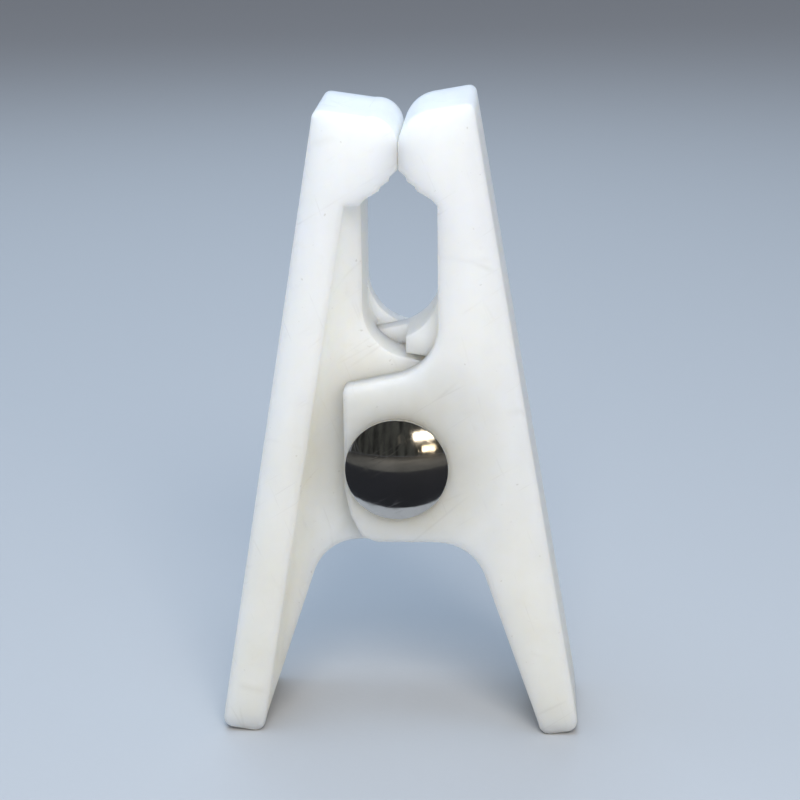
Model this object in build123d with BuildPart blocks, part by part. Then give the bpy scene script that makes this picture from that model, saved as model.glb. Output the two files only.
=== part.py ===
from build123d import *
import os
from math import acos, atan2, cos, degrees, hypot, pi, radians, sin, tan

os.makedirs("parts", exist_ok=True)

# A small sprung clothespin: two moulded levers, interleaved at the hinge, turn on a capped
# tubular rivet that also carries the torsion spring. It stands on its two handle tips, jaws up.
# Millimetres, +Z up, hinge axis along Y, front face at -Y, floor at Z = 0.

# Driving dimensions
DEPTH = 8.2                # both levers, front face to back face
HINGE_Z = 16.6             # rivet above the floor
JAW_TOP = 20.8             # mean height of the two jaw tops above the hinge
JAW_STEP = 0.17            # the right jaw stands this far above that height, the left this far below
HALF_WIDTH = 7.9           # hinge centre to a lever's outer edge, level with the hinge
LEAN = 9.5                 # lean of that edge from the vertical, degrees
LEFT_BAR = 2.5             # width of each lever's full-depth bar, along its outer edge
RIGHT_BAR = 2.3
OPENING = 4.4              # clear width between the levers, where the line goes
NIP_X = 0.2                # the jaws close this far to the right of the hinge
EAR_DEPTH = 1.7            # outer ear, flush with one face of the clip
CAP_R = 3.0                # rivet cap
POST_R = 1.2               # rivet tube, which the levers turn on
WIRE = 0.45                # spring wire diameter
COIL_R = 1.75              # spring coil, to the middle of the wire
COILS = 2                  # whole turns of the spring, which ends in about another half turn

# Clearances
EAR_GAP = 0.08             # between neighbouring ears
NIP_GAP = 0.04             # between the closed jaws
RUN_GAP = 0.05             # moving lever on the rivet tube and under the front cap
WIRE_GAP = 0.02            # between spring coils, and spring leg to lever
SPRING_GAP = 0.04          # spring to the inner ears on each side of it

# Dependent sizes
HALF = DEPTH / 2
EAR_FACE = HALF - EAR_DEPTH                # hidden face of an outer ear
WEB_OUT = EAR_FACE - EAR_GAP               # inner ear, face beside the outer ear
PITCH = WIRE + WIRE_GAP
WEB_IN = PITCH * (COILS + 0.5) / 2 + WIRE / 2 + SPRING_GAP  # inner ear, face beside the spring
ROOF = COIL_R + WIRE / 2 + 0.5             # underside of the left lever's solid part over the spring
SADDLE_R = 3.0                             # round corner at the foot of the line opening
EAR_REACH = 3.05                           # hinge centre to the free edge of an ear
EAR_BOTTOM = -4.6                          # lower edge of an outer ear, from the hinge
WEB_BOTTOM = -4.95                         # lower edge of an inner ear
ARCH_R = 2.95                              # round arch from an ear to the handle
LEG_LEAN = 20.0                            # lean of a handle's inner edge, degrees
LEG_TIP_Z = -4.3                           # end of a spring leg, from the hinge
POCKET_R = 7.5                             # hollow between a lever's ears
CHEEK = 0.5                                # beyond this, it shrinks to the other ear's swing
SWING_GAP = 0.12                           # round the other lever's inner ear as it swings
LEG_TURN = radians(78)                     # how far round a saddle goes before it runs straight
EAR_SADDLE = {-1: 9.85, 1: 8.2}            # height above the hinge where each saddle starts
WEB_SADDLE = {-1: 9.0, 1: 10.1}
SHOULDER = JAW_TOP - 5.6                   # underside of the jaw block
FOOT_R = 0.65
RAMP_R = 1.3                               # hollow ramp from the bar down to the recessed web
EDGE_R = 0.28                              # rounding along the moulded outlines
FLANGE_R = CAP_R - 0.42
FLANGE = 0.3
CAP_WALL = 0.2
STUD_R = 0.8
CAP_RISE = 1.1


HINGE = Axis((0, 0, HINGE_Z), (0, 1, 0))


def bar_width(side):
    """Width of a lever's bar. side is 1 on the right and -1 on the left."""
    return RIGHT_BAR if side > 0 else LEFT_BAR


def wall(side):
    """How far a lever's side of the line opening is from the hinge."""
    return OPENING / 2 + side * NIP_X


def foot_length(side):
    """Distance down a bar's outer edge from the hinge, so that its rounded foot meets the floor."""
    lean = radians(LEAN)
    rounding = FOOT_R * (cos(lean) + sin(lean) - 1)
    return (HINGE_Z + rounding - bar_width(side) * sin(lean)) / cos(lean)


def saddle_end(side, saddle):
    """Where a saddle's round corner ends. The ear's upper edge runs on straight from there."""
    x = wall(side) - SADDLE_R + SADDLE_R * cos(LEG_TURN)
    return (x, saddle - SADDLE_R * sin(LEG_TURN))


def ear_top(side, saddle):
    """Height of an ear's upper corner on its free edge."""
    x, z = saddle_end(side, saddle)
    return z - (x + EAR_REACH) / tan(LEG_TURN)


def layer(y):
    """Sketch plane about the hinge at depth y. Extrusion runs towards the front."""
    return Plane(origin=(0, y, HINGE_Z), x_dir=(1, 0, 0), z_dir=(0, -1, 0))


def bar_plane(side):
    """Section across a lever's bar: local x runs in from the outer edge, y to the recessed face."""
    lean = radians(LEAN)
    top = (side * outer_x(JAW_TOP), 0, HINGE_Z + JAW_TOP)
    inwards = (-side * cos(lean), 0, -sin(lean))
    return Plane(origin=top, x_dir=inwards, z_dir=(side * sin(lean), 0, -cos(lean)))


def rivet_plane(side):
    """Half-section of the rivet. Local x runs outwards along the hinge: side 1 is the front."""
    return Plane(origin=(0, -side * HALF, HINGE_Z), x_dir=(0, -side, 0), z_dir=(1, 0, 0))


def bar_point(along, across):
    """A point on a lever's bar: distance up its outer edge, and distance in from that edge."""
    lean = radians(LEAN)
    x = HALF_WIDTH - along * sin(lean) - across * cos(lean)
    return (x, along * cos(lean) - across * sin(lean))


def outer_x(z):
    """Half-width to the outer edge at height z above the hinge."""
    return HALF_WIDTH - z * tan(radians(LEAN))


def bar_outline(sketch, side, corner):
    """Jaw block, bar and foot of one lever."""
    nip = NIP_GAP / 2 + side * NIP_X
    top = JAW_TOP + side * JAW_STEP
    nose = (side * (nip + 1.7), top - 0.42)
    nip_top = (side * nip, JAW_TOP - 2.1)
    teeth = [
        (nip, JAW_TOP - 3.55),
        (nip + 0.42, JAW_TOP - 3.95),
        (nip + 0.5, JAW_TOP - 4.2),
        (nip + 0.92, JAW_TOP - 4.5),
        (nip + 1.05, JAW_TOP - 4.75),
        (wall(side) - 0.35, SHOULDER + 0.38),
        (wall(side), SHOULDER),
        (outer_x(SHOULDER) - bar_width(side), SHOULDER),
        bar_point(-foot_length(side), bar_width(side)),
        bar_point(-foot_length(side), 0),
        (outer_x(top), top),
    ]
    with BuildLine() as outline:
        ThreePointArc(nose, (side * (nip + 0.43), JAW_TOP - 1.05), nip_top)
        Polyline(nip_top, *[(side * x, z) for x, z in teeth], nose)
    make_face(outline.edges())
    fillet(sketch.vertices().sort_by(Axis.Y)[:2], FOOT_R)
    fillet(sketch.vertices().sort_by(Axis.Y)[-1], corner)


def ear_outline(sketch, side, saddle, arch):
    """Plate from the bar to the hinge: saddle and arch are the heights of its two round corners."""
    half_turn = LEG_TURN / 2
    saddle_x = wall(side) - SADDLE_R
    turn_end = saddle_end(side, saddle)
    lean = radians(LEG_LEAN)
    arch_x = 2.25
    arch_end = (arch_x + ARCH_R * cos(lean), arch - ARCH_R + ARCH_R * sin(lean))
    foot = 0.8 - foot_length(side)
    free_edge = [
        (turn_end[0], turn_end[1]),
        (-EAR_REACH, ear_top(side, saddle)),
        (-EAR_REACH, -1.3),
        (-2.75, -2.9),
        (-2.1, arch + 0.35),
        (-1.2, arch),
        (arch_x, arch),
    ]
    outer = [
        arch_end,
        bar_point(foot, bar_width(side)),
        bar_point(foot, bar_width(side) / 2),
        bar_point(SHOULDER + 1, bar_width(side) / 2),
        (wall(side), SHOULDER + 0.6),
        (wall(side), saddle),
    ]
    middle = pi / 2 - (pi / 2 - lean) / 2
    with BuildLine() as outline:
        ThreePointArc(
            (side * wall(side), saddle),
            (side * (saddle_x + SADDLE_R * cos(half_turn)), saddle - SADDLE_R * sin(half_turn)),
            (side * turn_end[0], turn_end[1]),
        )
        Polyline([(side * x, z) for x, z in free_edge])
        ThreePointArc(
            (side * arch_x, arch),
            (side * (arch_x + ARCH_R * cos(middle)), arch - ARCH_R + ARCH_R * sin(middle)),
            (side * arch_end[0], arch_end[1]),
        )
        Polyline([(side * x, z) for x, z in outer])
    make_face(outline.edges())
    free_corners = sketch.vertices().group_by(Axis.X)[0 if side > 0 else -1]
    fillet(free_corners.sort_by(Axis.Y)[-1], 0.35)


def swing_outline(sketch, side):
    """Room for the other lever's inner ear to swing."""
    Circle(POCKET_R)
    with Locations((side * (CHEEK + POCKET_R), POCKET_R)):
        Rectangle(2 * POCKET_R, 2 * POCKET_R, mode=Mode.SUBTRACT)
    Circle(hypot(EAR_REACH, ear_top(-side, WEB_SADDLE[-side])) + SWING_GAP)


def spring_outline(sketch):
    """Room for the spring, under a solid roof."""
    Circle(POCKET_R)
    with Locations((0, ROOF + POCKET_R)):
        Rectangle(2 * POCKET_R, 2 * POCKET_R, mode=Mode.SUBTRACT)


def slab(y_a, y_b, draw, *sizes, mode=Mode.ADD):
    """Extrude one outline between two depths."""
    with BuildSketch(layer(max(y_a, y_b))) as drawn:
        draw(drawn, *sizes)
    extrude(drawn.sketch, amount=abs(y_a - y_b), mode=mode)


def lever(side, bore):
    """A whole lever. Its outer ear is at the front for the right lever, else at the back.
    The left lever is solid above the spring as far as the right lever's inner ear."""
    near = -side
    bar = bar_width(side)
    web = (side, WEB_SADDLE[side], WEB_BOTTOM)
    shelf = near * (WEB_IN - EAR_GAP) if side < 0 else -near * WEB_IN
    slab(near * HALF, near * EAR_FACE, ear_outline, side, EAR_SADDLE[side], EAR_BOTTOM)
    slab(near * EAR_FACE, -near * WEB_OUT, ear_outline, *web)
    slab(near * EAR_FACE, shelf, swing_outline, side, mode=Mode.SUBTRACT)
    if side < 0:
        slab(shelf, -near * WEB_IN, spring_outline, mode=Mode.SUBTRACT)
    slab(-near * WEB_OUT, -near * HALF, ear_outline, *web)
    with BuildSketch(bar_plane(side)) as recess:
        with BuildLine() as outline:
            RadiusArc((bar + RAMP_R, WEB_OUT), (bar, WEB_OUT + RAMP_R), RAMP_R)
            Polyline(
                (bar, WEB_OUT + RAMP_R), (bar, DEPTH), (2 * HALF_WIDTH, DEPTH),
                (2 * HALF_WIDTH, WEB_OUT), (bar + RAMP_R, WEB_OUT),
            )
        make_face(outline.edges())
    extrude(recess.sketch, amount=2 * HINGE_Z + JAW_TOP, mode=Mode.SUBTRACT)
    slab(-HALF, HALF, bar_outline, side, 0.45)
    with Locations(layer(0)):
        Hole(bore)


def leg_reach(side):
    """How far out a spring leg's tip is, resting on the inner face of a lever's bar."""
    bar_face = outer_x(LEG_TIP_Z) - bar_width(side) / cos(radians(LEAN))
    return bar_face - WIRE / 2 - WIRE_GAP


def leg_angle(reach):
    """Angle above the level at which a straight leg leaves the coil to end at that reach."""
    return degrees(atan2(LEG_TIP_Z, reach) + acos(COIL_R / hypot(reach, LEG_TIP_Z)))


def outline_edges(part, end):
    """Edges round a lever's front (0) or back (-1) face."""
    return part.faces().filter_by(Axis.Y).sort_by(Axis.Y)[end].outer_wire().edges()


def dome_arc(height, top, rim):
    """Arc of a sphere centred on the hinge line, from the rim at a height up to the top."""
    rise = top - height
    sphere_r = (rim ** 2 + rise ** 2) / (2 * rise)
    half_turn = atan2(rim, sphere_r - rise) / 2
    middle = (top - sphere_r + sphere_r * cos(half_turn), sphere_r * sin(half_turn))
    ThreePointArc((height, rim), middle, (top, 0))


def cap_section(base):
    """Half-section of a domed cap whose rim starts at height base above the lever's face."""
    rim = CAP_R - 0.12
    shoulder = 0.5
    with BuildLine() as outline:
        ThreePointArc((base, rim), (0.26, CAP_R), (shoulder, rim))
        dome_arc(shoulder, CAP_RISE, rim)
        Line((CAP_RISE, 0), (CAP_RISE - CAP_WALL, 0))
        dome_arc(shoulder - 0.08, CAP_RISE - CAP_WALL, FLANGE_R)
        Polyline((shoulder - 0.08, FLANGE_R), (base, FLANGE_R), (base, rim))
    make_face(outline.edges())


# Left lever: the outer ear is at the back, and the rivet tube is pressed through it
with BuildPart() as left_lever:
    lever(-1, POST_R)
    fillet(outline_edges(left_lever.part, 0), EDGE_R)
    fillet(outline_edges(left_lever.part, -1), EDGE_R)
left_lever.part.label = "left_lever"
export_step(left_lever.part, "parts/left_lever.step")

# Right lever: the outer ear is at the front, and it turns on the rivet tube
with BuildPart() as right_lever:
    lever(1, POST_R + RUN_GAP)
    fillet(outline_edges(right_lever.part, 0), EDGE_R)
    fillet(outline_edges(right_lever.part, -1), EDGE_R)
right_lever.part.label = "right_lever"
export_step(right_lever.part, "parts/right_lever.step")

# Rivet: a flanged tube from the back, and a flanged stud pressed into it from the front
with BuildPart() as rivet_tube:
    with BuildSketch(rivet_plane(-1)) as half_section:
        with BuildLine() as outline:
            Polyline(
                (0, FLANGE_R), (FLANGE, FLANGE_R), (FLANGE, STUD_R), (-DEPTH - RUN_GAP, STUD_R),
                (-DEPTH - RUN_GAP, POST_R), (0, POST_R), (0, FLANGE_R),
            )
        make_face(outline.edges())
    revolve(half_section.sketch, HINGE)
rivet_tube.part.label = "rivet_tube"
export_step(rivet_tube.part, "parts/rivet_tube.step")

with BuildPart() as rivet_stud:
    with BuildSketch(rivet_plane(1)) as half_section:
        with BuildLine() as outline:
            Polyline(
                (RUN_GAP, 0), (RUN_GAP + FLANGE, 0), (RUN_GAP + FLANGE, FLANGE_R), (RUN_GAP, FLANGE_R),
                (RUN_GAP, STUD_R), (0.5 - DEPTH, STUD_R), (0.2 - DEPTH, STUD_R - 0.3),
                (0.2 - DEPTH, 0), (RUN_GAP, 0),
            )
        make_face(outline.edges())
    revolve(half_section.sketch, HINGE)
rivet_stud.part.label = "rivet_stud"
export_step(rivet_stud.part, "parts/rivet_stud.step")

# Caps: domed shells crimped over the flanges
with BuildPart() as front_cap:
    with BuildSketch(rivet_plane(1)) as half_section:
        cap_section(RUN_GAP)
    revolve(half_section.sketch, HINGE)
front_cap.part.label = "front_cap"
export_step(front_cap.part, "parts/front_cap.step")

with BuildPart() as rear_cap:
    with BuildSketch(rivet_plane(-1)) as half_section:
        cap_section(0)
    revolve(half_section.sketch, HINGE)
rear_cap.part.label = "rear_cap"
export_step(rear_cap.part, "parts/rear_cap.step")

# Torsion spring: two and a bit coils round the tube, and a straight leg to each lever's bar
left_reach = leg_reach(-1)
right_reach = leg_reach(1)
left_angle = leg_angle(left_reach)
sweep_angle = 360 * COILS + 180 - left_angle - leg_angle(right_reach)
coil_height = PITCH * sweep_angle / 360

# The wire starts on the left, winds clockwise as it goes back, and leaves on the right
STEPS = 42
step_length = radians(sweep_angle) * COIL_R / STEPS
coil_points = []
for step in range(STEPS + 1):
    turned = radians(180 - left_angle - sweep_angle * step / STEPS)
    depth = coil_height * (step / STEPS - 0.5)
    coil_points.append((COIL_R * cos(turned), depth, HINGE_Z + COIL_R * sin(turned)))
left_tip = (-left_reach, coil_points[0][1], HINGE_Z + LEG_TIP_Z)
right_tip = (right_reach, coil_points[-1][1], HINGE_Z + LEG_TIP_Z)

with BuildPart() as torsion_spring:
    with BuildLine() as wire_path:
        left_leg = Line(left_tip, coil_points[0])
        right_leg = Line(coil_points[-1], right_tip)
        ends = [left_leg % 1, right_leg % 0]
        Spline(*coil_points, tangents=ends, tangent_scalars=[step_length, step_length])
    with BuildSketch(Plane(left_tip, z_dir=left_leg % 0)) as wire_section:
        Circle(WIRE / 2)
    sweep(wire_section.sketch, path=wire_path.wire())
torsion_spring.part.label = "torsion_spring"
export_step(torsion_spring.part, "parts/torsion_spring.step")
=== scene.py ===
from math import acos, asin, atan2, cos, hypot, pi, radians, sin

import bmesh
import bpy
from mathutils import Matrix, Vector


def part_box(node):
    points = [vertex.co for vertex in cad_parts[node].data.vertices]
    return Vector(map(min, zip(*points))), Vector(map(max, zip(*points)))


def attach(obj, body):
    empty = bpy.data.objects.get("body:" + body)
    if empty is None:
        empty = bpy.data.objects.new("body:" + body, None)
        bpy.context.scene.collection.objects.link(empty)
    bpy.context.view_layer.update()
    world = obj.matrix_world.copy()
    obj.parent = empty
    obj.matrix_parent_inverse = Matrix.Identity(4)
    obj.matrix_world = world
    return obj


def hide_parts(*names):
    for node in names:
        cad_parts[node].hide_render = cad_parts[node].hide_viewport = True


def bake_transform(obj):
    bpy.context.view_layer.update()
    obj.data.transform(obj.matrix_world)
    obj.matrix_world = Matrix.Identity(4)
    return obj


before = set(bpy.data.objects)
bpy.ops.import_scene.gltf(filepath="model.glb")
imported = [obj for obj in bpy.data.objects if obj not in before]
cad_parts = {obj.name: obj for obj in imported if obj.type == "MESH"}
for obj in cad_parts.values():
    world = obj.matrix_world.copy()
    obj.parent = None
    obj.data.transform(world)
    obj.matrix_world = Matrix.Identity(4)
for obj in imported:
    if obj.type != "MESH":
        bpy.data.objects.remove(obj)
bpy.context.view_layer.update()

# ---------------------------------------------------------------------------
# The two levers: natural white nylon, injection moulded, satin from the mould. It is
# translucent enough that edges glow and corners never go dark. Their shape is the
# frame's own, and only the surface is added here.

MM = 0.001
front_cap_low, front_cap_high = (Vector(corner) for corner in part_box("front_cap"))
hinge_z = (front_cap_low.z + front_cap_high.z) / 2


def new_material(name):
    """An empty node material with its Principled shader and output."""
    material = bpy.data.materials.new(name)
    material.use_nodes = True
    tree = material.node_tree
    shader = next(node for node in tree.nodes if node.type == "BSDF_PRINCIPLED")
    return material, tree, shader


def wire_up(tree, source, target):
    """Joins an output to an input."""
    tree.links.new(source, target)


def add_node(tree, kind, **settings):
    """Adds a node. A setting that starts with a capital is an input's value, else a property."""
    node = tree.nodes.new(kind)
    for key, value in settings.items():
        if key[0].isupper():
            node.inputs[key.replace("_", " ")].default_value = value
        else:
            setattr(node, key, value)
    return node


def new_group(name, inputs, outputs):
    """A shader node group with named float, colour or vector sockets."""
    group = bpy.data.node_groups.new(name, "ShaderNodeTree")
    kinds = {"float": "NodeSocketFloat", "colour": "NodeSocketColor", "vector": "NodeSocketVector"}
    for label, kind, value in inputs:
        socket = group.interface.new_socket(label, in_out="INPUT", socket_type=kinds[kind])
        socket.default_value = value
    for label, kind in outputs:
        group.interface.new_socket(label, in_out="OUTPUT", socket_type=kinds[kind])
    return group, group.nodes.new("NodeGroupInput"), group.nodes.new("NodeGroupOutput")


def ramp(tree, source, low, high, low_value=0.0, high_value=1.0):
    """Maps low..high to low_value..high_value, clamped."""
    node = tree.nodes.new("ShaderNodeMapRange")
    node.inputs["From Min"].default_value = low
    node.inputs["From Max"].default_value = high
    node.inputs["To Min"].default_value = low_value
    node.inputs["To Max"].default_value = high_value
    wire_up(tree, source, node.inputs["Value"])
    return node.outputs["Result"]


def arithmetic(tree, operation, first, second=0.0):
    """One arithmetic step on sockets or plain numbers."""
    node = tree.nodes.new("ShaderNodeMath")
    node.operation = operation
    for socket, value in zip(node.inputs, (first, second)):
        if isinstance(value, (int, float)):
            socket.default_value = value
        else:
            wire_up(tree, value, socket)
    return node.outputs[0]


def weighted_sum(tree, *terms):
    """Adds sockets up, each times its own weight."""
    total = None
    for value, weight in terms:
        part = arithmetic(tree, "MULTIPLY", value, weight)
        total = part if total is None else arithmetic(tree, "ADD", total, part)
    return total


def noise(tree, place, scale, detail=3.0, roughness=0.55, stretch=(1, 1, 1)):
    """Noise over object space. Scale is in features per millimetre."""
    mapping = tree.nodes.new("ShaderNodeMapping")
    mapping.inputs["Scale"].default_value = [axis * scale / MM for axis in stretch]
    wire_up(tree, place, mapping.inputs["Vector"])
    node = add_node(tree, "ShaderNodeTexNoise", Scale=1.0, Detail=detail, Roughness=roughness)
    wire_up(tree, mapping.outputs[0], node.inputs["Vector"])
    return node.outputs["Fac"]


def blend_colour(tree, amount, first, second):
    """Mixes two colours, given as values or sockets."""
    node = tree.nodes.new("ShaderNodeMix")
    node.data_type = "RGBA"
    wire_up(tree, amount, node.inputs["Factor"])
    for socket, value in ((node.inputs[6], first), (node.inputs[7], second)):
        if isinstance(value, tuple):
            socket.default_value = value
        else:
            wire_up(tree, value, socket)
    return node.outputs[2]


def scratch_group():
    """Fine handling scratches: thin broken lines at three angles, as a mask from 0 to 1."""
    across = 1 / MM
    along = 0.06 / MM
    group, given, result = new_group(
        "fine_scratches",
        [("Place", "vector", (0, 0, 0)), ("Lines Per Millimetre", "float", 1.2), ("Amount", "float", 0.5)],
        [("Mask", "float")],
    )
    total = None
    for turn, seed in ((0.3, 1.0), (1.25, 7.0), (2.2, 13.0)):
        turned = add_node(group, "ShaderNodeMapping")
        turned.inputs["Rotation"].default_value = (0.4 * seed, turn, 0.2 * seed)
        turned.inputs["Location"].default_value = (seed * 0.01, seed * 0.02, 0)
        wire_up(group, given.outputs["Place"], turned.inputs["Vector"])
        scaled = add_node(group, "ShaderNodeVectorMath", operation="MULTIPLY")
        wire_up(group, turned.outputs[0], scaled.inputs[0])
        scaled.inputs[1].default_value = (across, along, along)
        spread = add_node(group, "ShaderNodeVectorMath", operation="SCALE")
        wire_up(group, scaled.outputs[0], spread.inputs[0])
        wire_up(group, given.outputs["Lines Per Millimetre"], spread.inputs["Scale"])
        cells = add_node(group, "ShaderNodeTexVoronoi", feature="DISTANCE_TO_EDGE", Scale=1.0)
        wire_up(group, spread.outputs[0], cells.inputs["Vector"])
        line = ramp(group, cells.outputs["Distance"], 0.0, 0.02, 1.0, 0.0)
        patches = noise(group, turned.outputs[0], 0.35, detail=2.0)
        line = arithmetic(group, "MULTIPLY", line, ramp(group, patches, 0.52, 0.66))
        total = line if total is None else arithmetic(group, "MAXIMUM", total, line)
    wire_up(group, arithmetic(group, "MULTIPLY", total, given.outputs["Amount"]), result.inputs["Mask"])
    return group


def moulding_group():
    """Moulded nylon: cloudy colour, flow lines along the lever, a fine grain and a mould seam, with painted
    shade mixed in where the given mask asks for it.
    """
    group, given, result = new_group(
        "moulded_surface",
        [
            ("Place", "vector", (0, 0, 0)),
            ("Light Colour", "colour", (0.9, 0.9, 0.88, 1)),
            ("Deep Colour", "colour", (0.8, 0.8, 0.76, 1)),
            ("Dirt Colour", "colour", (0.5, 0.47, 0.4, 1)),
            ("Stain Colour", "colour", (0.7, 0.66, 0.54, 1)),
            ("Stain", "float", 0.0),
            ("Scratches", "float", 0.0),
        ],
        [("Colour", "colour"), ("Roughness", "float"), ("Height", "float")],
    )
    place = given.outputs["Place"]
    scratched = given.outputs["Scratches"]
    clouds = noise(group, place, 0.22, detail=4.0)
    flow = noise(group, place, 0.9, detail=2.0, stretch=(1, 1, 0.07))
    tone = ramp(group, weighted_sum(group, (clouds, 0.7), (flow, 0.3)), 0.38, 0.62)
    colour = blend_colour(group, tone, given.outputs["Light Colour"], given.outputs["Deep Colour"])
    specks = ramp(group, noise(group, place, 3.2, detail=1.0), 0.745, 0.79, 0.0, 0.30)
    smudges = ramp(group, noise(group, place, 0.5, detail=5.0, roughness=0.7), 0.62, 0.8, 0.0, 0.12)
    dirt = arithmetic(group, "MAXIMUM", specks, smudges)
    dirt = arithmetic(group, "MAXIMUM", dirt, arithmetic(group, "MULTIPLY", scratched, 0.25))
    # Painted shade: the given mask darkens the colour towards a warm grey-brown.
    colour = blend_colour(group, given.outputs["Stain"], colour, given.outputs["Stain Colour"])
    wire_up(group, blend_colour(group, dirt, colour, given.outputs["Dirt Colour"]), result.inputs["Colour"])
    grain = noise(group, place, 9.0, detail=3.0)
    patchy = ramp(group, noise(group, place, 0.35, detail=3.0), 0.35, 0.65, 0.34, 0.46)
    rough = weighted_sum(group, (patchy, 1.0), (grain, 0.08), (scratched, 0.15))
    wire_up(group, rough, result.inputs["Roughness"])
    split = group.nodes.new("ShaderNodeSeparateXYZ")
    wire_up(group, place, split.inputs[0])
    off_centre = arithmetic(group, "ABSOLUTE", split.outputs["Y"])
    seam = ramp(group, off_centre, 0.03 * MM, 0.09 * MM, 1.0, 0.0)
    height = weighted_sum(group, (grain, 0.10), (flow, 0.45), (clouds, 1.2), (scratched, -0.5), (seam, 0.9))
    wire_up(group, height, result.inputs["Height"])
    return group


scratches = scratch_group()
moulding = moulding_group()


def place_of(tree, seed=0.0):
    """Object-space position, shifted by the seed so that two like pieces don't match."""
    where = tree.nodes.new("ShaderNodeTexCoord")
    shift = add_node(tree, "ShaderNodeVectorMath", operation="ADD")
    shift.inputs[1].default_value = (seed * MM, 0, seed * 3 * MM)
    wire_up(tree, where.outputs["Object"], shift.inputs[0])
    return shift.outputs[0]


def painted_shade_amount(tree):
    """Painted shade: how much a point is darkened, most beside the rivet, a little on the handles, none at
    the jaws.
    """
    where = tree.nodes.new("ShaderNodeTexCoord")
    axes = tree.nodes.new("ShaderNodeSeparateXYZ")
    wire_up(tree, where.outputs["Object"], axes.inputs[0])
    rise = arithmetic(tree, "SUBTRACT", axes.outputs["Z"], hinge_z)
    across_squared = arithmetic(tree, "POWER", axes.outputs["X"], 2.0)
    both_squared = arithmetic(tree, "ADD", across_squared, arithmetic(tree, "POWER", rise, 2.0))
    from_hinge = arithmetic(tree, "SQRT", both_squared)
    near_rivet = ramp(tree, from_hinge, 2.6 * MM, 8.5 * MM, 0.85, 0.0)
    handles = ramp(tree, rise, -16 * MM, 14 * MM, 0.60, 0.0)
    patches = noise(tree, where.outputs["Object"], 0.25, detail=4.0)
    amount = arithmetic(tree, "MAXIMUM", near_rivet, handles)
    return arithmetic(tree, "MULTIPLY", amount, ramp(tree, patches, 0.3, 0.7, 0.75, 1.1))


def nylon(name, seed):
    """Milky translucent nylon for one lever."""
    material, tree, shader = new_material(name)
    place = place_of(tree, seed)
    marks = add_node(tree, "ShaderNodeGroup", node_tree=scratches, Lines_Per_Millimetre=0.55, Amount=0.6)
    wire_up(tree, place, marks.inputs["Place"])
    surface = add_node(
        tree, "ShaderNodeGroup", node_tree=moulding,
        Light_Colour=(0.94, 0.94, 0.925, 1), Deep_Colour=(0.90, 0.895, 0.865, 1),
        Dirt_Colour=(0.42, 0.38, 0.31, 1), Stain_Colour=(0.62, 0.585, 0.49, 1),
    )
    # Painted shade beside the rivet and on the handles, darker towards their feet.
    wire_up(tree, painted_shade_amount(tree), surface.inputs["Stain"])
    wire_up(tree, place, surface.inputs["Place"])
    wire_up(tree, marks.outputs["Mask"], surface.inputs["Scratches"])
    bump = add_node(tree, "ShaderNodeBump", Strength=0.5, Distance=0.02 * MM)
    rounded = add_node(tree, "ShaderNodeBevel", samples=6, Radius=0.45 * MM)
    wire_up(tree, rounded.outputs[0], bump.inputs["Normal"])
    wire_up(tree, surface.outputs["Height"], bump.inputs["Height"])
    wire_up(tree, surface.outputs["Colour"], shader.inputs["Base Color"])
    wire_up(tree, surface.outputs["Roughness"], shader.inputs["Roughness"])
    wire_up(tree, bump.outputs[0], shader.inputs["Normal"])
    shader.inputs["IOR"].default_value = 1.5
    shader.inputs["Subsurface Weight"].default_value = 1.0
    shader.inputs["Subsurface Radius"].default_value = (1.0, 0.9, 0.72)
    shader.inputs["Subsurface Scale"].default_value = 5.0 * MM
    return material


for lever, seed in (("left_lever", 0.0), ("right_lever", 21.0)):
    finish = nylon(f"nylon_{lever}", seed)
    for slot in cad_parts[lever].material_slots:
        slot.material = finish

# ---------------------------------------------------------------------------
# The torsion spring: hard-drawn steel wire, a little over two coils round the rivet
# tube, with a straight leg to each lever.


def darkened(colour, share):
    """The colour with each channel cut to a share of itself."""
    return tuple(channel * share for channel in colour[:3]) + (1,)


def steel(name, colour, roughness, lines, seed):
    """Bare or plated steel, a little mottled, with fine scratches."""
    material, tree, shader = new_material(name)
    place = place_of(tree, seed)
    marks = add_node(tree, "ShaderNodeGroup", node_tree=scratches, Lines_Per_Millimetre=lines, Amount=1.0)
    wire_up(tree, place, marks.inputs["Place"])
    mottle = noise(tree, place, 2.2, detail=4.0)
    tone = blend_colour(tree, ramp(tree, mottle, 0.35, 0.7), colour, darkened(colour, 0.72))
    wire_up(tree, tone, shader.inputs["Base Color"])
    patchy = ramp(tree, mottle, 0.3, 0.7, roughness, roughness + 0.12)
    rough = weighted_sum(tree, (patchy, 1.0), (marks.outputs["Mask"], 0.2))
    wire_up(tree, rough, shader.inputs["Roughness"])
    bump = add_node(tree, "ShaderNodeBump", Strength=0.4, Distance=0.006 * MM)
    wire_up(tree, arithmetic(tree, "SUBTRACT", mottle, marks.outputs["Mask"]), bump.inputs["Height"])
    wire_up(tree, bump.outputs[0], shader.inputs["Normal"])
    shader.inputs["Metallic"].default_value = 1.0
    return material


def put_in_scene(name, data):
    """An object for a mesh, lamp or camera, linked to the scene."""
    piece = bpy.data.objects.new(name, data)
    bpy.context.scene.collection.objects.link(piece)
    return piece


def smooth_piece(name, build):
    """A smooth-shaded object from the faces built so far."""
    bmesh.ops.recalc_face_normals(build, faces=build.faces)
    mesh = bpy.data.meshes.new(name)
    build.to_mesh(mesh)
    build.free()
    mesh.shade_smooth()
    return put_in_scene(name, mesh)


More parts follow.
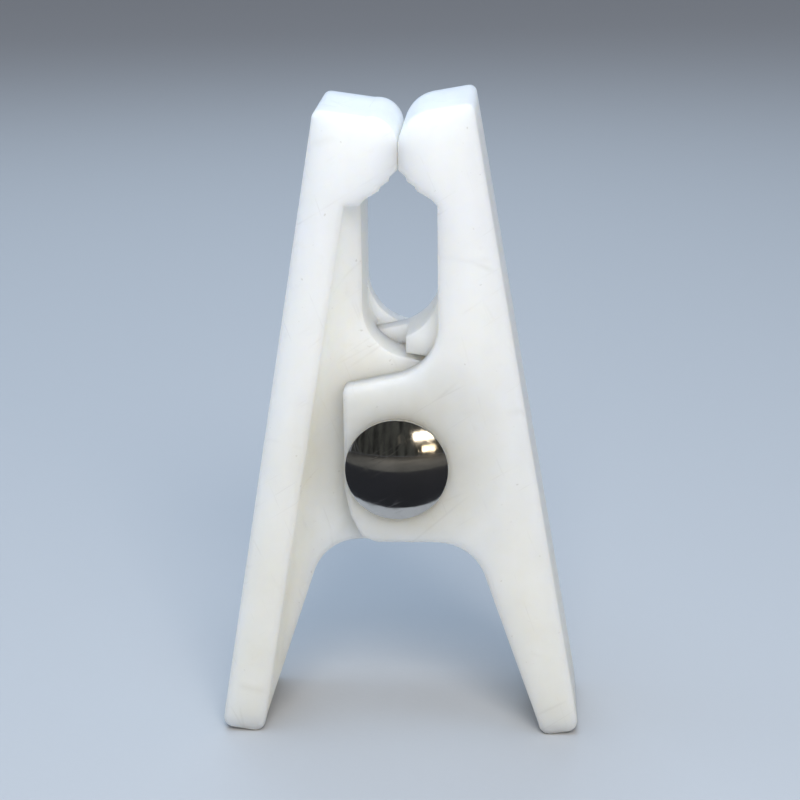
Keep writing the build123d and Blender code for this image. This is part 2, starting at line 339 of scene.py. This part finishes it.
def tube_along(name, points, radius, sides):
    """A round wire through the points, with slightly domed cut ends."""
    end_width = 0.75
    end_rise = 0.18
    build = bmesh.new()
    across = Vector((0, 1, 0))
    rings = []
    last = len(points) - 1
    for index, point in enumerate(points):
        along = (points[min(index + 1, last)] - points[max(index - 1, 0)]).normalized()
        across = (across - along * across.dot(along)).normalized()
        third = along.cross(across)
        ring = []
        for side in range(sides):
            turn = 2 * pi * side / sides
            ring.append(build.verts.new(point + radius * (cos(turn) * across + sin(turn) * third)))
        rings.append(ring)
    for first, second in zip(rings, rings[1:]):
        for side in range(sides):
            other = (side + 1) % sides
            build.faces.new((first[side], first[other], second[other], second[side]))
    for ring, point, inward in ((rings[0], points[0], points[1]), (rings[-1], points[-1], points[-2])):
        out = (point - inward).normalized()
        tip = point + out * radius * end_rise
        rim = [build.verts.new(tip + (corner.co - point) * end_width) for corner in ring]
        for side in range(sides):
            other = (side + 1) % sides
            build.faces.new((ring[side], ring[other], rim[other], rim[side]))
        build.faces.new(rim)
    return smooth_piece(name, build)


spring_low, spring_high = (Vector(corner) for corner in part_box("torsion_spring"))
wire_r = 0.225 * MM
coil_r = spring_high.z - hinge_z - wire_r
coil_half = (spring_high.y - spring_low.y) / 2 - wire_r
tip_z = spring_low.z - hinge_z + wire_r
left_tip = -spring_low.x - wire_r
right_tip = spring_high.x - wire_r
left_turn = atan2(tip_z, left_tip) + acos(coil_r / hypot(left_tip, tip_z))
right_turn = atan2(tip_z, right_tip) + acos(coil_r / hypot(right_tip, tip_z))
COILS = 2
winding = COILS * 2 * pi + pi - left_turn - right_turn

LEG_STEPS = 24
COIL_STEPS = 260
wire_points = []
leg_start = Vector((-left_tip, -coil_half, hinge_z + tip_z))
coil_start = Vector((-coil_r * cos(left_turn), -coil_half, hinge_z + coil_r * sin(left_turn)))
for step in range(LEG_STEPS):
    wire_points.append(leg_start.lerp(coil_start, step / LEG_STEPS))
for step in range(COIL_STEPS + 1):
    angle = pi - left_turn - winding * step / COIL_STEPS
    depth = coil_half * (2 * step / COIL_STEPS - 1)
    wire_points.append(Vector((coil_r * cos(angle), depth, hinge_z + coil_r * sin(angle))))
leg_end = Vector((right_tip, coil_half, hinge_z + tip_z))
coil_end = wire_points[-1].copy()
for step in range(1, LEG_STEPS + 1):
    wire_points.append(coil_end.lerp(leg_end, step / LEG_STEPS))

spring = tube_along("spring_wire", wire_points, wire_r, sides=20)
drawn_steel = steel("drawn_spring_steel", (0.56, 0.55, 0.53, 1), roughness=0.26, lines=2.5, seed=3.0)
spring.data.materials.append(drawn_steel)
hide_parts("torsion_spring")
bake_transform(spring)

# ---------------------------------------------------------------------------
# The rivet: a flanged tube and a flanged stud of nickel-plated steel, pressed together
# through the levers. The caps cover both flanges, and the spring winds round the tube.

nickel = steel("nickel_plate", (0.60, 0.57, 0.52, 1), roughness=0.22, lines=1.8, seed=5.0)
for name in ("rivet_tube", "rivet_stud"):
    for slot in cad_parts[name].material_slots:
        slot.material = nickel

# ---------------------------------------------------------------------------
# The caps: thin steel discs drawn into a dome, chrome plated and polished, with
# a rolled rim crimped over the rivet's flange. The same cap closes both sides.

lever_low, lever_high = (Vector(corner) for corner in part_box("left_lever"))
front_face = lever_low.y
back_face = lever_high.y


def lathe(name, profile, face_y, outwards, segments):
    """Turns a profile of (height, radius) points about the hinge line, out from a lever's face."""
    smallest_ring = 1e-7
    build = bmesh.new()
    rings = []
    for height, radius in profile:
        if radius < smallest_ring:
            rings.append([build.verts.new((0, face_y + outwards * height, hinge_z))])
            continue
        ring = []
        for segment in range(segments):
            turn = 2 * pi * segment / segments
            place = (radius * cos(turn), face_y + outwards * height, hinge_z + radius * sin(turn))
            ring.append(build.verts.new(place))
        rings.append(ring)
    for first, second in zip(rings, rings[1:]):
        for segment in range(segments):
            other = (segment + 1) % segments
            if len(first) == len(second) == 1:
                continue
            if len(first) == 1:
                build.faces.new((first[0], second[other], second[segment]))
            elif len(second) == 1:
                build.faces.new((first[segment], first[other], second[0]))
            else:
                build.faces.new((first[segment], first[other], second[other], second[segment]))
    return smooth_piece(name, build)


def dome(low, top, rim, steps):
    """Points of a spherical dome from its rim, at height low, to its top."""
    rise = top - low
    ball = (rim ** 2 + rise ** 2) / (2 * rise)
    edge = asin(rim / ball)
    points = []
    for step in range(steps + 1):
        tilt = edge * (1 - step / steps)
        points.append((top - ball + ball * cos(tilt), ball * sin(tilt)))
    return points


def cap_profile(base, crown, radius):
    """Outside from the crimped rim to the crown, then the inside back to the rim."""
    sheet = 0.2 * MM
    bead = 0.05 * MM
    bead_steps = 12
    inner_drop = 0.06 * MM
    rim = radius - bead
    profile = [(base, rim - sheet)]
    for step in range(bead_steps + 1):
        turn = -pi / 2 + pi * step / bead_steps
        profile.append((base + sheet * (1 + sin(turn)), rim + bead * cos(turn)))
    shoulder = base + 2 * sheet
    profile += dome(shoulder, crown, rim, steps=40)[1:]
    inside = dome(shoulder - inner_drop, crown - sheet, rim - sheet, steps=12)
    return profile + inside[::-1] + [(base, rim - sheet)]


def chrome():
    """Bright chrome over polished steel, with hairline scratches and faint smears."""
    clean = (0.62, 0.60, 0.565, 1)
    smeared = (0.54, 0.525, 0.49, 1)
    material, tree, shader = new_material("polished_chrome")
    place = place_of(tree, seed=9.0)
    marks = add_node(tree, "ShaderNodeGroup", node_tree=scratches, Lines_Per_Millimetre=2.2, Amount=0.8)
    wire_up(tree, place, marks.inputs["Place"])
    smears = ramp(tree, noise(tree, place, 0.7, detail=5.0, roughness=0.65), 0.45, 0.75)
    rough = weighted_sum(tree, (smears, 0.10), (marks.outputs["Mask"], 0.18))
    wire_up(tree, arithmetic(tree, "ADD", rough, 0.06), shader.inputs["Roughness"])
    wire_up(tree, blend_colour(tree, smears, clean, smeared), shader.inputs["Base Color"])
    bump = add_node(tree, "ShaderNodeBump", Strength=0.35, Distance=0.004 * MM)
    ripple = arithmetic(tree, "MULTIPLY", noise(tree, place, 0.8, detail=2.0), 6.0)
    wire_up(tree, arithmetic(tree, "SUBTRACT", ripple, marks.outputs["Mask"]), bump.inputs["Height"])
    wire_up(tree, bump.outputs[0], shader.inputs["Normal"])
    shader.inputs["Metallic"].default_value = 1.0
    return material


cap_radius = (front_cap_high.x - front_cap_low.x) / 2
cap_chrome = chrome()
for node, face_y, outwards in (("front_cap", front_face, -1), ("rear_cap", back_face, 1)):
    base, crown = sorted(abs(corner[1] - face_y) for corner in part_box(node))
    profile = cap_profile(base, crown, cap_radius)
    cap = lathe(f"{node}_dome", profile, face_y, outwards, segments=192)
    cap.data.materials.append(cap_chrome)
    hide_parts(node)
    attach(cap, "left_lever")

# ---------------------------------------------------------------------------
# The studio: a pale paper floor, cool soft lights above and behind, a warm one in front,
# small lamps that glint in the caps, and three cards that are seen only as reflections.


def level_corners(left, front, right, back, height):
    """The corners of a level rectangle."""
    return [(left, front, height), (right, front, height), (right, back, height), (left, back, height)]


def flat_sheet(name, corners):
    """A single four-cornered face in the scene."""
    mesh = bpy.data.meshes.new(name)
    mesh.from_pydata(corners, [], [(0, 1, 2, 3)])
    return put_in_scene(name, mesh)


reach = 3.0
floor = flat_sheet("studio_floor", level_corners(-reach, -reach, reach, reach, 0))
paper, paper_tree, paper_shader = new_material("pale_paper")
paper_shader.inputs["Base Color"].default_value = (0.50, 0.51, 0.53, 1)
paper_shader.inputs["Roughness"].default_value = 0.9
fibres = noise(paper_tree, place_of(paper_tree), 2.5, detail=4.0)
paper_bump = add_node(paper_tree, "ShaderNodeBump", Strength=0.25, Distance=0.05 * MM)
wire_up(paper_tree, fibres, paper_bump.inputs["Height"])
wire_up(paper_tree, paper_bump.outputs[0], paper_shader.inputs["Normal"])
floor.data.materials.append(paper)


def stage_card(name, corners, colour, streaks):
    """A flat matt card seen only in reflections. Its streaks vary the tone across it."""
    piece = flat_sheet(name, corners)
    material, tree, shader = new_material(name)
    fade = noise(tree, place_of(tree), 0.008, detail=3.0, stretch=(1, 1, 0.12))
    tone = blend_colour(tree, ramp(tree, fade, 0.4, 0.6), colour, darkened(colour, 1 - streaks))
    wire_up(tree, tone, shader.inputs["Base Color"])
    shader.inputs["Roughness"].default_value = 0.95
    piece.data.materials.append(material)
    piece.visible_camera = False
    piece.visible_diffuse = False
    piece.visible_shadow = False


lift = 0.4 * MM
cloth_back = -14.5 * MM
cloth_front = -0.06
cloth_corners = level_corners(-0.16, cloth_front, 0.16, cloth_back, lift)
table_corners = level_corners(-0.9, -0.9, 0.9, cloth_front, lift)
wall_corners = [(-1.6, -1.5, 0), (1.6, -1.5, 0), (1.6, -1.5, 1.7), (-1.6, -1.5, 1.7)]
stage_card("dark_cloth", cloth_corners, (0.022, 0.022, 0.026, 1), streaks=0.2)
stage_card("table_front", table_corners, (0.14, 0.13, 0.115, 1), streaks=0.4)
stage_card("room_wall", wall_corners, (0.34, 0.33, 0.27, 1), streaks=0.75)


def soft_light(name, place, aim, width, height, watts, colour, mirrored=True):
    """A rectangular soft light, turned to face a point. Mirrored ones show in the chrome."""
    data = bpy.data.lights.new(name, "AREA")
    data.shape = "RECTANGLE"
    data.size = width
    data.size_y = height
    data.energy = watts
    data.color = colour
    lamp = put_in_scene(name, data)
    lamp.location = place
    lamp.visible_glossy = mirrored
    lamp.rotation_euler = (aim - Vector(place)).to_track_quat("-Z", "Y").to_euler()


middle = Vector((0, 0, hinge_z))
jaws = middle + Vector((0, 0, 0.016))
soft_light("window_above", (-0.03, -0.02, 0.26), jaws, 0.22, 0.18, 0.42, (0.55, 0.76, 1.0), mirrored=False)
soft_light("sky_behind", (-0.03, 0.20, 0.20), jaws, 0.16, 0.14, 0.18, (0.66, 0.83, 1.0), mirrored=False)
soft_light("room_front", (0.03, -0.21, 0.20), jaws, 0.14, 0.09, 0.50, (1.0, 0.95, 0.88), mirrored=False)
soft_light("lamp_upper", (0.375, -0.80, 0.30), middle, 0.34, 0.13, 0.9, (1.0, 0.88, 0.70))
soft_light("lamp_lower", (0.44, -0.80, 0.10), middle, 0.20, 0.09, 0.25, (1.0, 0.82, 0.56))
soft_light("lamp_top", (0.03, -0.70, 0.80), middle, 0.10, 0.05, 0.12, (1.0, 0.97, 0.92))

world = bpy.data.worlds.new("studio_air")
world.use_nodes = True
backdrop = next(node for node in world.node_tree.nodes if node.type == "BACKGROUND")
backdrop.inputs["Color"].default_value = (0.82, 0.88, 1.0, 1)
backdrop.inputs["Strength"].default_value = 0.30
bpy.context.scene.world = world
bpy.context.scene.view_settings.view_transform = "Standard"

# ---------------------------------------------------------------------------
# The camera: a little above the clip and a touch to its right, close enough for
# the perspective of a small object held near the lens.

azimuth = radians(3.2)
elevation = radians(16.0)
roll = radians(-0.6)
distance = 0.125
aim_above = 3.9
aim_right = 0.18
ahead = Vector((-sin(azimuth) * cos(elevation), cos(azimuth) * cos(elevation), -sin(elevation)))
level = Vector((cos(azimuth), sin(azimuth), 0))
upright = level.cross(ahead)
right = level * cos(roll) + upright * sin(roll)
above = upright * cos(roll) - level * sin(roll)
target = Vector((0, front_face, hinge_z)) + above * aim_above * MM + right * aim_right * MM
eye = target - ahead * distance
camera_data = bpy.data.cameras.new("camera")
camera_data.sensor_width = 36.0
camera_data.lens = 97.9
camera_data.clip_start = 0.005
camera = put_in_scene("camera", camera_data)
facing = Matrix((right, above, -ahead)).transposed().to_4x4()
camera.matrix_world = Matrix.Translation(eye) @ facing
bpy.context.scene.camera = camera
